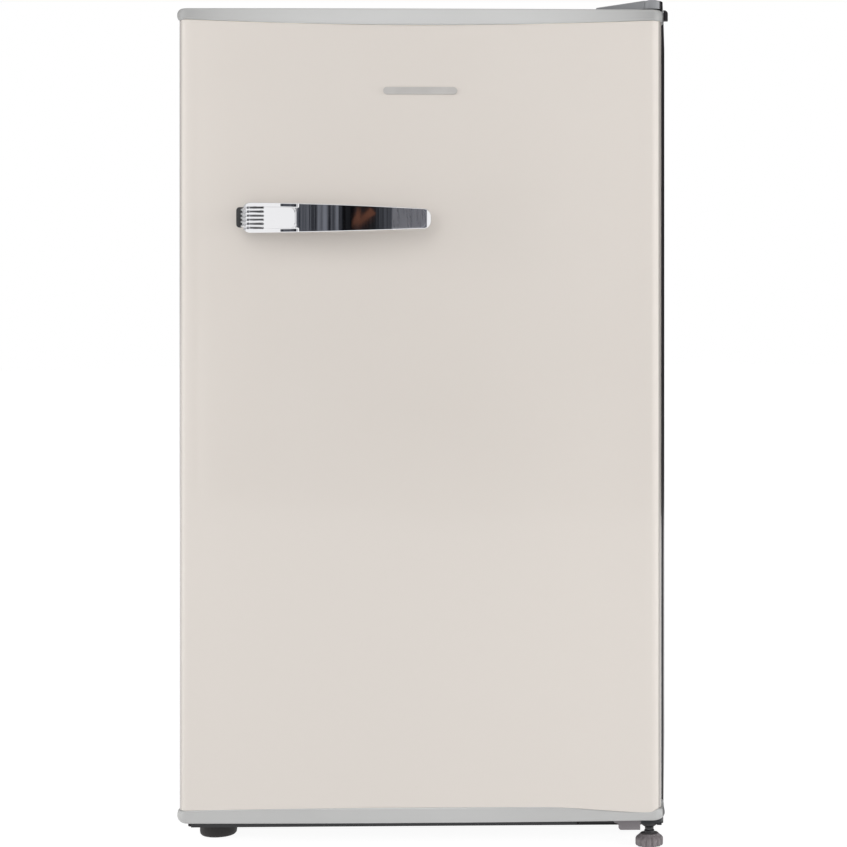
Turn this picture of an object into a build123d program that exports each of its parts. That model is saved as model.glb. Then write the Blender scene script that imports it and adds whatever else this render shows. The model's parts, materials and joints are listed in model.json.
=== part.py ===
"""Compact single-door refrigerator with a bowed door, a bridge handle and an ice box.

Frame: +Z up from the floor, -Y towards the person who opens it, +X to that person's right.
The origin is on the floor, in the middle of the overall width and depth. The door hangs on
the right. Everything is in millimetres.
"""

import os

from build123d import *

os.makedirs("parts", exist_ok=True)

# ------------------------------------------------------------------ driving dimensions
width = 475  # across the worktop's front bar
door_width = 467.4  # across the door's end caps
height = 820  # floor to the crown of the hinge cover
body_depth = 450  # crown of the door to the back panel
handle_reach = 36  # how far the handle stands in front of the door's crown
door_thick = 60
seal_gap = 11  # between the door's back and the cabinet's face

# Stations from front to back
back_y = (body_depth + handle_reach) / 2
crown_y = back_y - body_depth
door_back_y = crown_y + door_thick
face_y = door_back_y + seal_gap

# Stations from floor to top
base_z = 13
door_bottom = 29
door_top = height - 11
hinge_seat = height - 9  # the recess in the worktop for the top hinge
worktop_top = hinge_seat + 3.4
worktop_thick = 10.4
shell_top = worktop_top - worktop_thick

# Cabinet walls
cabinet_half = 233
sheet = 1.2  # painted steel
back_rib = 2
liner_wall = 2
inner_half = 198
rear_y = 207
floor_z = 68
ceiling_z = 757
cavity_round = 10
lip = 5  # width of the liner's rim in the steel face

# Machine room at the lower back, and the step it makes in the food compartment
room_front_y = 110
room_top_z = 215
step_y = room_front_y - 32
step_z = room_top_z + 32
drain_x, drain_y, drain_r = -70, 150, 7

# Shelves and drawer
glass = 4
cover_z = step_z
lower_shelf_z = 378
upper_shelf_z = 495
tray_z = 610
shelf_front_y = -50
ledge_heights = (cover_z, 300, 339, lower_shelf_z, 417, 456, upper_shelf_z, 534, tray_z)
ledge, ledge_thick = 5, 6
shelf_half = inner_half - 2
trim_half = inner_half - ledge - 2

# Door
edge_y = crown_y + 20  # where the bow ends at the door's sides
panel_half = 231.2
cap_half = door_width / 2
bow = 20  # how far the door's middle stands in front of its edges
flat_bow = 3  # the bow left at the caps' outer edges
door_sheet = 0.8
cap_lip = 2  # the end caps stand proud of the painted panel
corner = 14
top_cap_ends, top_cap_middle = 10, 17.5
bottom_cap_ends, bottom_cap_middle = 12, 19
door_liner_wall = 1.8
liner_half, liner_low, liner_high = 216, 43, 795
dyke_half, dyke_width, dyke_back_y = 186, 20, door_back_y + 42
dyke_low, dyke_high = 76, 752
pocket_y = door_back_y - 13  # front wall of the hollow that holds the door bins
bin_half = dyke_half - dyke_width
bin_back_y = dyke_back_y + 38
bins = (("lower", 96, 190), ("middle", 330, 396), ("upper", 540, 606))

# Hinge line
hinge_x, hinge_y = 219.5, -167
pin_r, bush_r = 4, 8
hollow_pin_r, hollow_bush_r = 5.5, 9
stud_r = 3
running = 0.06  # radial clearance of a running fit
bracket_low, bracket_high = 24.5, 27.5

# Handle
handle_z = 608.3
handle_left, handle_right = -161.5, 15.5
lever_tall, lever_slim = 14.4, 9.2  # half heights of the lever at its left and right ends


# ------------------------------------------------------------------ shared shapes
def block(x, y, z, mode=Mode.ADD):
    """A box between two stations along each axis."""
    with Locations(((x[0] + x[1]) / 2, (y[0] + y[1]) / 2, (z[0] + z[1]) / 2)):
        Box(abs(x[1] - x[0]), y[1] - y[0], z[1] - z[0], mode=mode)


def rod(x, y, z, radius, mode=Mode.ADD):
    """An upright cylinder between two heights."""
    with Locations((x, y, (z[0] + z[1]) / 2)):
        Cylinder(radius, z[1] - z[0], mode=mode)


def facing(y):
    """A plane parallel to the door, with X to the right and Z up, whose normal is -Y."""
    return Plane.XZ.offset(-y)


def turned(x, y, profile):
    """Turns a closed profile of (radius, height) points about an upright axis."""
    with BuildSketch(Plane((x, y, 0), x_dir=(1, 0, 0), z_dir=(0, -1, 0))) as section:
        with BuildLine():
            Polyline(*profile, close=True)
        make_face()
    revolve(section.sketch, axis=Axis((x, y, 0), (0, 0, 1)))


def tub(x, y, z, wall, round_r):
    """An open-topped tub with rounded upright corners."""
    middle = ((x[0] + x[1]) / 2, (y[0] + y[1]) / 2)
    for inset, mode in ((0, Mode.ADD), (wall, Mode.SUBTRACT)):
        with BuildSketch(Plane.XY.offset(z[0] + inset)) as plan:
            with Locations(middle):
                RectangleRounded(x[1] - x[0] - 2 * inset, y[1] - y[0] - 2 * inset, round_r - inset)
        extrude(plan.sketch, amount=z[1] - z[0] - inset, mode=mode)


def pipe(points, bend, radius):
    """A round tube along straight runs joined by arcs."""
    with BuildLine() as path:
        FilletPolyline(*points, radius=bend)
    with BuildSketch(Plane(path.line @ 0, z_dir=path.line % 0)) as section:
        Circle(radius)
    sweep(section.sketch, path=path.line)


def save(name, piece):
    """Labels a finished piece and writes it as its own STEP file."""
    piece.part.label = name
    export_step(piece.part, f"parts/{name}.step")


# ------------------------------------------------------------------ cabinet
def cabinet_plan(z, inset):
    """The steel wrap's outline at height z, moved in by inset and then open at the back."""
    back = back_y + (1 if inset else 0)
    with BuildSketch(Plane.XY.offset(z)) as plan:
        with Locations((0, (face_y + inset + back) / 2)):
            Rectangle(2 * (cabinet_half - inset), back - face_y - inset)
        fillet(plan.vertices().group_by(Axis.Y)[0], 4 - inset)
    return plan.sketch


def mouth(y):
    """The rounded opening in the steel face."""
    with BuildSketch(facing(y)) as opening:
        with Locations((0, (floor_z + ceiling_z) / 2)):
            RectangleRounded(
                2 * (inner_half + lip), ceiling_z - floor_z + 2 * lip, cavity_round + lip
            )
    return opening.sketch


def cavity(grow):
    """The food compartment as a solid, its walls moved out by grow."""
    with BuildPart() as room:
        with BuildSketch(Plane.YZ.offset(-inner_half - grow)):
            with BuildLine():
                Polyline(
                    (face_y, floor_z - grow),
                    (step_y + grow, floor_z - grow),
                    (step_y + grow, step_z - grow),
                    (rear_y + grow, step_z - grow),
                    (rear_y + grow, ceiling_z + grow),
                    (face_y, ceiling_z + grow),
                    close=True,
                )
            make_face()
        extrude(amount=2 * (inner_half + grow))
        runs = room.edges().filter_by(Axis.Y).group_by(Axis.Z)
        fillet(runs[0] + runs[-1], cavity_round + grow)
    return room.part


food_room = cavity(0)
liner_outside = cavity(liner_wall)
inside_half = cabinet_half - sheet
plate_back = back_y - back_rib

with BuildPart() as cabinet_shell:
    extrude(cabinet_plan(base_z, 0), amount=shell_top - base_z)
    extrude(
        cabinet_plan(base_z, sheet), amount=shell_top - sheet - base_z, mode=Mode.SUBTRACT
    )
    extrude(mouth(face_y - 1), amount=-(sheet + 2), mode=Mode.SUBTRACT)
save("cabinet_shell", cabinet_shell)

with BuildPart() as inner_liner:
    extrude(mouth(face_y), amount=-sheet)
    add(liner_outside)
    add(food_room, mode=Mode.SUBTRACT)
    for side in (-1, 1):
        for z in ledge_heights:
            ledge_end = step_y - 6 if z == cover_z else rear_y - 14
            block(
                sorted((side * (inner_half - ledge), side * (inner_half + 1))),
                (shelf_front_y + 14, ledge_end),
                (z - ledge_thick, z),
            )
    rod(drain_x, drain_y, (step_z - 5, step_z + 1), drain_r, Mode.SUBTRACT)
save("inner_liner", inner_liner)

with BuildPart() as insulation_foam:
    block(
        (-inside_half, inside_half),
        (face_y + sheet, plate_back - sheet),
        (base_z + sheet, shell_top - sheet),
    )
    fillet(insulation_foam.edges().filter_by(Axis.Z).group_by(Axis.Y)[0], 4 - sheet)
    block(
        (-cabinet_half, cabinet_half),
        (room_front_y - sheet, back_y),
        (base_z, room_top_z + sheet),
        mode=Mode.SUBTRACT,
    )
    extrude(mouth(face_y), amount=-2 * sheet, mode=Mode.SUBTRACT)
    add(liner_outside, mode=Mode.SUBTRACT)
    rod(drain_x, drain_y, (room_top_z, step_z), drain_r, Mode.SUBTRACT)
save("insulation_foam", insulation_foam)

with BuildPart() as back_panel:
    block(
        (-inside_half, inside_half),
        (plate_back - sheet, plate_back),
        (room_top_z + sheet, shell_top - sheet),
    )
    with BuildSketch(facing(plate_back)):
        with Locations((0, (room_top_z + shell_top) / 2)):
            with GridLocations(120, 1, 3, 1):
                SlotOverall(440, 26, rotation=90)
    extrude(amount=-back_rib)
    fillet(back_panel.faces().sort_by(Axis.Y)[-1].edges(), 1.2)
save("back_panel", back_panel)

with BuildPart() as machine_room_plate:
    block(
        (-inside_half, inside_half),
        (room_front_y - sheet, room_front_y),
        (base_z + sheet, room_top_z + sheet),
    )
    block(
        (-inside_half, inside_half),
        (room_front_y, plate_back),
        (room_top_z, room_top_z + sheet),
    )
    rod(drain_x, drain_y, (room_top_z - 1, room_top_z + 2), drain_r, Mode.SUBTRACT)
save("machine_room_plate", machine_room_plate)

lip_half, lip_thick, lip_drop = 229, 1.5, 0.5
with BuildPart() as base_plate:
    block(
        (-inside_half, inside_half),
        (face_y + sheet, room_front_y - sheet),
        (base_z, base_z + sheet),
    )
    fillet(base_plate.edges().filter_by(Axis.Z).group_by(Axis.Y)[0], 4 - sheet)
    block((-lip_half, 148), (face_y - lip_thick, face_y), (base_z - lip_drop, 30))
    block((-lip_half, lip_half), (face_y - lip_thick, face_y + 6), (base_z - lip_drop, base_z))
save("base_plate", base_plate)

compressor_x, compressor_y, compressor_r = -60, 176, 56
mount_x, mount_y = 150, 84
tray_plate = 1.8
with BuildPart() as compressor_base:
    block(
        (-inside_half, inside_half),
        (room_front_y - sheet, plate_back),
        (base_z - tray_plate, base_z),
    )
    block((-inside_half, inside_half), (plate_back - 2, plate_back), (base_z, base_z + 14))
    with Locations((compressor_x, compressor_y, base_z)):
        with GridLocations(mount_x, mount_y, 2, 2):
            Hole(3.5)
    with Locations((170, plate_back - 1, base_z + 7)):
        Cylinder(4.5, 4, rotation=(90, 0, 0), mode=Mode.SUBTRACT)
save("compressor_base", compressor_base)

front_bar = 12  # depth of the worktop's wider front bar
with BuildPart() as worktop:
    with BuildSketch(Plane.XY.offset(shell_top)) as plan:
        with Locations((0, (face_y + back_y) / 2)):
            Rectangle(2 * cabinet_half, back_y - face_y)
        with Locations((0, face_y + front_bar / 2)):
            Rectangle(width, front_bar)
        fillet(plan.vertices().group_by(Axis.Y)[0], 4)
        fillet(plan.vertices().group_by(Axis.Y)[-1], 3)
    extrude(amount=worktop_thick)
    fillet(worktop.faces().sort_by(Axis.Z)[-1].edges(), 3.5)
    fillet(worktop.faces().sort_by(Axis.Z)[0].edges(), 1)
    block((164, 233), (face_y - 1, -70.5), (hinge_seat, worktop_top + 1), Mode.SUBTRACT)
    block(
        (-cabinet_half + 16, 150),
        (face_y + 16, back_y - 16),
        (shell_top, worktop_top - 3),
        mode=Mode.SUBTRACT,
    )
    with GridLocations(120, 1, 3, 1):
        with Locations((-34, (face_y + back_y) / 2, (shell_top + worktop_top) / 2)):
            Box(3, back_y - face_y - 34, worktop_thick - 4)
save("worktop", worktop)

with BuildPart() as front_left_foot:
    turned(-207.5, -112, [(0, 0), (12, 0), (16.5, 1.6), (18, 4), (18, base_z), (0, base_z)])
save("front_left_foot", front_left_foot)

rear_foot = [(0, 0), (13, 0), (15, 2), (15, base_z - tray_plate), (0, base_z - tray_plate)]
with BuildPart() as rear_feet:
    for side in (-1, 1):
        turned(side * 195, 215, rear_foot)
save("rear_feet", rear_feet)

# ------------------------------------------------------------------ hinges
with BuildPart() as top_hinge_plate:
    with BuildSketch(Plane.XY.offset(hinge_seat)):
        with BuildLine():
            Polyline(
                (hinge_x + 6.5, hinge_y),
                (hinge_x + 6.5, -80),
                (174, -80),
                (174, -110),
                (hinge_x - 4, hinge_y - 3),
                close=True,
            )
        make_face()
        with Locations((hinge_x + 1, hinge_y)):
            Circle(5.9)
        with Locations((hinge_x, hinge_y)):
            Circle(pin_r, mode=Mode.SUBTRACT)
        with Locations((188, -92), (212, -92), (206, -118)):
            Circle(2.5, mode=Mode.SUBTRACT)
    extrude(amount=2.5)
save("top_hinge_plate", top_hinge_plate)

with BuildPart() as top_hinge_pin:
    rod(hinge_x, hinge_y, (door_top - 11, hinge_seat + 2.5), pin_r)
    chamfer(top_hinge_pin.edges().sort_by(Axis.Z)[0], 0.8)
save("top_hinge_pin", top_hinge_pin)

def cover_outline(z, inset):
    """The hinge cover's outline: a round nose at the hinge and a slanted inner side."""
    with BuildSketch(Plane.XY.offset(z)) as outline:
        with BuildLine():
            Polyline(
                (hinge_x + 13, hinge_y),
                (hinge_x + 13, -72),
                (166, -72),
                (166, -113),
                (hinge_x - 5.5, hinge_y - 6.5),
                close=True,
            )
        make_face()
        with Locations((hinge_x + 3, hinge_y)):
            Circle(9.5)
        fillet(outline.vertices().group_by(Axis.Y)[-1], 4)
        if inset:
            offset(amount=-inset)
    return outline.sketch


with BuildPart() as hinge_cover:
    extrude(cover_outline(hinge_seat, 0), amount=height - hinge_seat - 1)
    fillet(hinge_cover.faces().sort_by(Axis.Z)[-1].edges(), 1.5)
    with Locations((hinge_x + 3, hinge_y, height - 1)):
        Cone(6, 4.5, 1, align=(Align.CENTER, Align.CENTER, Align.MIN))
    extrude(
        cover_outline(hinge_seat, 1.5), amount=height - hinge_seat - 2.5, mode=Mode.SUBTRACT
    )
save("hinge_cover", hinge_cover)

with BuildPart() as hinge_hole_plugs:
    for x, y in ((-188, -92), (-212, -92), (-206, -118)):
        turned(x, y, [(0, worktop_top), (5.5, worktop_top), (5, worktop_top + 1), (0, worktop_top + 1.4)])
save("hinge_hole_plugs", hinge_hole_plugs)

flange_y = face_y - 3
with BuildPart() as bottom_hinge_bracket:
    with BuildSketch(Plane.XY.offset(bracket_low)) as plan:
        with BuildLine():
            Polyline(
                (hinge_x + 12.5, face_y),
                (hinge_x + 12.5, hinge_y),
                (hinge_x, hinge_y - 13),
                (190, hinge_y - 13),
                (186, hinge_y - 8),
                (176, face_y),
                close=True,
            )
        make_face()
        with Locations((hinge_x, hinge_y)):
            Circle(13)
        with Locations((hinge_x, hinge_y)):
            Circle(hollow_pin_r, mode=Mode.SUBTRACT)
    extrude(amount=bracket_high - bracket_low)
    block((190, 211), (hinge_y - 13, hinge_y - 10.5), (18.6, bracket_low))
    fillet(bottom_hinge_bracket.edges().filter_by(Axis.Y).sort_by(Axis.Z)[:2].sort_by(Axis.X)[0], 3)
    block((227, 231.5), (hinge_y - 5, hinge_y + 12), (21, bracket_low))
    block((150, cabinet_half - 1), (flange_y, face_y), (base_z + 1, 42))
    with Locations((165, flange_y, 35), (190, flange_y, 35), (215, flange_y, 35)):
        Cylinder(2.5, 8, rotation=(90, 0, 0), mode=Mode.SUBTRACT)
save("bottom_hinge_bracket", bottom_hinge_bracket)

with BuildPart() as bottom_hinge_pin:
    rod(hinge_x, hinge_y, (bracket_low, door_bottom + 12), hollow_pin_r)
    rod(hinge_x, hinge_y, (bracket_low - 1, door_bottom + 14), stud_r + running, Mode.SUBTRACT)
save("bottom_hinge_pin", bottom_hinge_pin)

with BuildPart() as hinge_screws:
    for x, y in ((188, -92), (212, -92), (206, -118)):
        rod(x, y, (hinge_seat, hinge_seat + 2.5), 2.4)
        rod(x, y, (hinge_seat + 2.5, hinge_seat + 5), 4.5)
    for x in (165, 190, 215):
        with Locations((x, flange_y + 1.5, 35)):
            Cylinder(2.4, 3, rotation=(90, 0, 0))
        with Locations((x, flange_y - 0.8, 35)):
            Cylinder(4.5, 1.6, rotation=(90, 0, 0))
save("hinge_screws", hinge_screws)

nut_low = 16.2
with BuildPart() as foot_nut:
    turned(
        hinge_x,
        hinge_y,
        [
            (stud_r + running, nut_low),
            (4.3, nut_low),
            (4.3, 18.6),
            (7.3, 20.6),
            (7.3, 22),
            (7.5, 22.4),
            (7.5, bracket_low),
            (stud_r + running, bracket_low),
        ],
    )
save("foot_nut", foot_nut)

with BuildPart() as foot_stud:
    rod(hinge_x, hinge_y, (3.3, door_bottom + 9), stud_r)
    chamfer(foot_stud.edges().sort_by(Axis.Z)[-1], 0.6)
save("foot_stud", foot_stud)

knob_r, knob_top, flutes = 13.6, 15.6, 14
with BuildPart() as foot_knob:
    turned(
        hinge_x,
        hinge_y,
        [
            (0, 0),
            (8, 0),
            (8.5, 2.2),
            (12.8, 2.8),
            (knob_r, 4.2),
            (knob_r, 9.6),
            (12.9, 11.2),
            (9, knob_top),
            (0, knob_top),
        ],
    )
    with Locations((hinge_x, hinge_y, 12)):
        with PolarLocations(knob_r + 1, flutes):
            Cylinder(1.9, 16, mode=Mode.SUBTRACT)
    rod(hinge_x, hinge_y, (3, knob_top + 1), stud_r + running, Mode.SUBTRACT)
save("foot_knob", foot_knob)

# ------------------------------------------------------------------ machine room
grommet_top = base_z + 18
with BuildPart() as compressor:
    turned(
        compressor_x,
        compressor_y,
        [
            (0, 36), (40, 36), (50, 41), (compressor_r - 1, 52), (compressor_r, 104),
            (compressor_r + 3, 104), (compressor_r + 3, 108), (compressor_r, 108),
            (compressor_r - 2, 150), (46, 170), (28, 180), (0, 183),
        ],
    )
    block(
        (compressor_x - mount_x / 2 - 12, compressor_x + mount_x / 2 + 12),
        (compressor_y - mount_y / 2 - 12, compressor_y + mount_y / 2 + 12),
        (grommet_top, 36),
    )
    with Locations((compressor_x, compressor_y, 36)):
        with GridLocations(mount_x, mount_y, 2, 2):
            Hole(3.4, depth=6)
save("compressor", compressor)

with BuildPart() as compressor_grommets:
    with Locations((compressor_x, compressor_y, (base_z + grommet_top) / 2)):
        with GridLocations(mount_x, mount_y, 2, 2):
            Cylinder(9, grommet_top - base_z)
            Cylinder(3.4, grommet_top - base_z, mode=Mode.SUBTRACT)
save("compressor_grommets", compressor_grommets)

with BuildPart() as compressor_bolts:
    with Locations((compressor_x, compressor_y, 0)):
        with GridLocations(mount_x, mount_y, 2, 2):
            with Locations((0, 0, 25)):
                Cylinder(3, 22)
            with Locations((0, 0, 38)):
                Cylinder(5.5, 4)
save("compressor_bolts", compressor_bolts)

with BuildPart() as compressor_terminal_cover:
    block((-24, 22), (compressor_y - 24, compressor_y + 24), (62, 102))
    fillet(compressor_terminal_cover.edges().filter_by(Axis.Z).group_by(Axis.X)[-1], 6)
    rod(compressor_x, compressor_y, (60, 104), compressor_r + 0.2, Mode.SUBTRACT)
save("compressor_terminal_cover", compressor_terminal_cover)

with BuildPart() as evaporation_tray:
    tub((-126, 6), (compressor_y - 52, compressor_y + 52), (184, 207), 1.8, 12)
save("evaporation_tray", evaporation_tray)

with BuildPart() as drain_tube:
    rod(drain_x, drain_y, (192, step_z), drain_r - 0.2)
    rod(drain_x, drain_y, (191, step_z + 1), drain_r - 2, Mode.SUBTRACT)
save("drain_tube", drain_tube)

with BuildPart() as suction_tube:
    pipe([(-117, 176, 130), (-150, 176, 130), (-150, 176, 214.8)], 12, 3.5)
save("suction_tube", suction_tube)

with BuildPart() as discharge_tube:
    pipe(
        [(-115, 195, 80), (-190, 195, 80), (-190, 195, 170), (-190, 150, 170), (-190, 150, 214.8)],
        12,
        2.5,
    )
save("discharge_tube", discharge_tube)

with BuildPart() as filter_drier:
    turned(
        120,
        205,
        [(0, 84), (3, 84), (3, 92), (9, 98), (9, 168), (3, 175), (3, 184), (0, 184)],
    )
save("filter_drier", filter_drier)

with BuildPart() as capillary_tube:
    pipe([(120, 205, 83.8), (120, 205, 60), (60, 205, 60), (60, 205, 214.8)], 12, 1.2)
    pipe([(120, 205, 184.2), (120, 205, 200), (160, 205, 200), (160, 205, 214.8)], 6, 2)
save("capillary_tube", capillary_tube)

with BuildPart() as cable_gland:
    with Locations((170, plate_back - 1.2, base_z + 7)):
        Cylinder(4.4, 6, rotation=(90, 0, 0))
    with Locations((170, plate_back + 0.9, base_z + 7)):
        Cylinder(6.5, 1.8, rotation=(90, 0, 0))
    with Locations((170, plate_back, base_z + 7)):
        Cylinder(2.8, 16, rotation=(90, 0, 0), mode=Mode.SUBTRACT)
save("cable_gland", cable_gland)

# ------------------------------------------------------------------ food compartment
shelves = (
    ("crisper_cover_glass", cover_z, 118),
    ("shelf_lower_glass", lower_shelf_z, 198),
    ("shelf_upper_glass", upper_shelf_z, 198),
)
with BuildPart() as shelf_trims:
    for name, z, back in shelves:
        block((-trim_half, trim_half), (shelf_front_y, shelf_front_y + 12), (z - 4, z + glass + 3))
        if z > cover_z:
            block((-trim_half, trim_half), (190, 202), (z - 4, z + glass + 6))
    for name, z, back in shelves:
        block((-shelf_half, shelf_half), (shelf_front_y + 3, back), (z, z + glass), Mode.SUBTRACT)
save("shelf_trims", shelf_trims)

for name, z, back in shelves:
    with BuildPart() as pane:
        block((-shelf_half, shelf_half), (shelf_front_y + 3, back), (z, z + glass))
        chamfer(pane.edges().filter_by(Axis.Z), 3)
    save(name, pane)

box_half, box_front_y, box_back_y, box_low, box_high = 180, 12, 200, 640, 745
with BuildPart() as ice_box:
    block((-box_half, box_half), (box_front_y, box_back_y), (box_low, box_high))
    fillet(ice_box.edges().filter_by(Axis.Y), 12)
    with BuildSketch(facing(box_front_y - 1)):
        with Locations((0, (box_low + box_high) / 2)):
            RectangleRounded(2 * box_half - 3, box_high - box_low - 3, 10.5)
    extrude(amount=-(box_back_y - box_front_y - 1.5 + 1), mode=Mode.SUBTRACT)
save("ice_box", ice_box)

pivot_z = 741
flap_half = 178
with BuildPart() as ice_box_frame:
    with BuildSketch(facing(5)):
        with Locations((0, (box_low + box_high) / 2)):
            RectangleRounded(2 * box_half + 12, box_high - box_low + 10, 14)
            RectangleRounded(2 * box_half - 8, box_high - box_low - 8, 8, mode=Mode.SUBTRACT)
    extrude(amount=-(box_front_y - 5))
    for side in (-1, 1):
        block(
            sorted((side * (flap_half + 0.5), side * (box_half + 6))),
            (-6, 5),
            (pivot_z - 7, pivot_z + 7),
        )
        with Locations((side * (flap_half + 2), 0, pivot_z)):
            Cylinder(1.86, 6, rotation=(0, 90, 0), mode=Mode.SUBTRACT)
save("ice_box_frame", ice_box_frame)

with BuildPart() as ice_box_hangers:
    for x in (-150, 150):
        for y in (40, 170):
            block((x - 8, x + 8), (y - 8, y + 8), (box_high, ceiling_z))
save("ice_box_hangers", ice_box_hangers)

with BuildPart() as ice_box_door:
    block((-flap_half, flap_half), (-3, 3), (646, pivot_z + 3))
    fillet(ice_box_door.edges().filter_by(Axis.Y).group_by(Axis.Z)[0], 8)
    fillet(ice_box_door.edges().filter_by(Axis.X).group_by(Axis.Z)[-1], 2)
    block((-40, 40), (-9, -3), (650, 656))
    with BuildSketch(facing(-3)):
        with Locations((0, 697)):
            with GridLocations(1, 12, 1, 5):
                SlotOverall(300, 4)
    extrude(amount=0.8)
    with Locations((0, 0, pivot_z)):
        Cylinder(1.8, 2 * flap_half + 6, rotation=(0, 90, 0))
save("ice_box_door", ice_box_door)

with BuildPart() as drip_tray:
    tub((-shelf_half, shelf_half), (10, 196), (tray_z, tray_z + 20), 2, 8)
save("drip_tray", drip_tray)

dial_y, dial_z = 2, 573
housing = ((164, inner_half), (-22, 96), (546, 600))
with BuildPart() as thermostat_housing:
    block(*housing)
    fillet(thermostat_housing.faces().sort_by(Axis.X)[0].edges(), 6)
    block((160, 190), (46, 86), (554, 592), Mode.SUBTRACT)
    with Locations((166, dial_y, dial_z)):
        Cylinder(3.06, 20, rotation=(0, 90, 0), mode=Mode.SUBTRACT)
save("thermostat_housing", thermostat_housing)

with BuildPart() as lamp_cover:
    block((165, 190), (46.2, 85.8), (554.2, 591.8))
    block((167, 191), (48, 84), (556, 590), Mode.SUBTRACT)
save("lamp_cover", lamp_cover)

with BuildPart() as lamp_bulb:
    with Locations((186, 66, dial_z)):
        Cylinder(5, 8, rotation=(0, 90, 0))
    with Locations((176, 66, dial_z)):
        Cylinder(8, 12, rotation=(0, 90, 0))
    fillet(lamp_bulb.faces().sort_by(Axis.X)[0].edges(), 5)
save("lamp_bulb", lamp_bulb)

with BuildPart() as thermostat_knob:
    with BuildSketch(Plane.YZ.offset(150)):
        with Locations((dial_y, dial_z)):
            Circle(17)
            with PolarLocations(18, 18):
                Circle(1.8, mode=Mode.SUBTRACT)
    extrude(amount=13.6)
    fillet(thermostat_knob.faces().sort_by(Axis.X)[0].edges(), 0.6)
    with Locations((168, dial_y, dial_z)):
        Cylinder(3, 14, rotation=(0, 90, 0))
    block((149, 151), (dial_y - 1, dial_y + 1), (dial_z + 2, dial_z + 14))
save("thermostat_knob", thermostat_knob)

drawer_front_y = -50
with BuildPart() as crisper_drawer:
    tub((-184, 184), (drawer_front_y, 72), (floor_z + 0.4, 236), 2.5, 14)
    block((-90, 90), (drawer_front_y - 8, drawer_front_y + 1), (222, 226))
    block((-90, 90), (drawer_front_y - 8, drawer_front_y - 5), (212, 226))
save("crisper_drawer", crisper_drawer)

# ------------------------------------------------------------------ door
def door_plan(z, half, inset, sagitta, back):
    """The bowed door's outline at height z, its front and sides moved in by inset."""
    with BuildSketch(Plane.XY.offset(z)) as plan:
        with BuildLine():
            side_y = edge_y + inset
            Polyline((-half, side_y), (-half, back), (half, back), (half, side_y))
            ThreePointArc((half, side_y), (0, side_y - sagitta), (-half, side_y))
        make_face()
        fillet(plan.vertices().group_by(Axis.Y)[0], corner - inset)
    return plan.sketch


with BuildPart() as panel_field:
    with BuildSketch(facing(crown_y - 10)):
        with BuildLine():
            low_end, low_middle = door_bottom + bottom_cap_ends, door_bottom + bottom_cap_middle
            high_end, high_middle = door_top - top_cap_ends, door_top - top_cap_middle
            ThreePointArc((-cap_half, low_end), (0, low_middle), (cap_half, low_end))
            Line((cap_half, low_end), (cap_half, high_end))
            ThreePointArc((cap_half, high_end), (0, high_middle), (-cap_half, high_end))
            Line((-cap_half, high_end), (-cap_half, low_end))
        make_face()
    extrude(amount=-(door_thick + 20))

foam_half = panel_half - door_sheet
with BuildPart() as door_panel:
    extrude(door_plan(door_bottom, panel_half, cap_lip, bow, door_back_y), amount=door_top - door_bottom)
    extrude(
        door_plan(door_bottom, foam_half, cap_lip + door_sheet, bow, door_back_y - door_sheet),
        amount=door_top - door_bottom,
        mode=Mode.SUBTRACT,
    )
    block(
        (-liner_half, liner_half),
        (door_back_y - door_sheet - 1, door_back_y + 1),
        (door_bottom, door_top),
        mode=Mode.SUBTRACT,
    )
    add(panel_field.part, mode=Mode.INTERSECT)
save("door_panel", door_panel)

liner_plate = (door_back_y - door_liner_wall, door_back_y)


def door_cap(outer_z, inner_z):
    """An end cap whose front leans back from the panel to its outer edge."""
    with BuildPart() as cap:
        inner = door_plan(inner_z, cap_half, 0, bow, door_back_y)
        outer = door_plan(outer_z, cap_half, 0, flat_bow, door_back_y)
        loft([inner, outer])
        add(panel_field.part, mode=Mode.SUBTRACT)
        block((-liner_half, liner_half), liner_plate, (liner_low, liner_high), Mode.SUBTRACT)
        end = cap.faces().filter_by(Axis.Z).group_by(Axis.Z)[-1 if outer_z > inner_z else 0]
        fillet(end.edges(), 2)
    return cap.part


with BuildPart() as door_top_cap:
    add(door_cap(door_top, door_top - top_cap_middle))
    rod(hinge_x, hinge_y, (door_top - 20, door_top + 1), bush_r, Mode.SUBTRACT)
save("door_top_cap", door_top_cap)

with BuildPart() as door_bottom_cap:
    add(door_cap(door_bottom, door_bottom + bottom_cap_middle))
    rod(hinge_x, hinge_y, (door_bottom - 1, door_bottom + 20), hollow_bush_r, Mode.SUBTRACT)
save("door_bottom_cap", door_bottom_cap)

top_bush, bottom_bush = (door_top - 14, door_top), (door_bottom, door_bottom + 15)
with BuildPart() as door_hinge_bushes:
    rod(hinge_x, hinge_y, top_bush, bush_r)
    rod(hinge_x, hinge_y, (door_top - 12, door_top + 1), pin_r + running, Mode.SUBTRACT)
    rod(hinge_x, hinge_y, bottom_bush, hollow_bush_r)
    rod(
        hinge_x, hinge_y, (door_bottom - 1, door_bottom + 13), hollow_pin_r + running, Mode.SUBTRACT
    )
save("door_hinge_bushes", door_hinge_bushes)


def dyke_inside(mode):
    """The foam-filled inside of the door liner's raised frame."""
    block(
        (door_liner_wall - dyke_half, dyke_half - door_liner_wall),
        (liner_plate[0], dyke_back_y - door_liner_wall),
        (dyke_low + door_liner_wall, dyke_high - door_liner_wall),
        mode,
    )


def bin_recess(grow, mode):
    """The hollow inside the raised frame, its walls moved out by grow."""
    block(
        (-bin_half - grow, bin_half + grow),
        (pocket_y - grow, dyke_back_y),
        (dyke_low + dyke_width - grow, dyke_high - dyke_width + grow),
        mode,
    )


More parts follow.
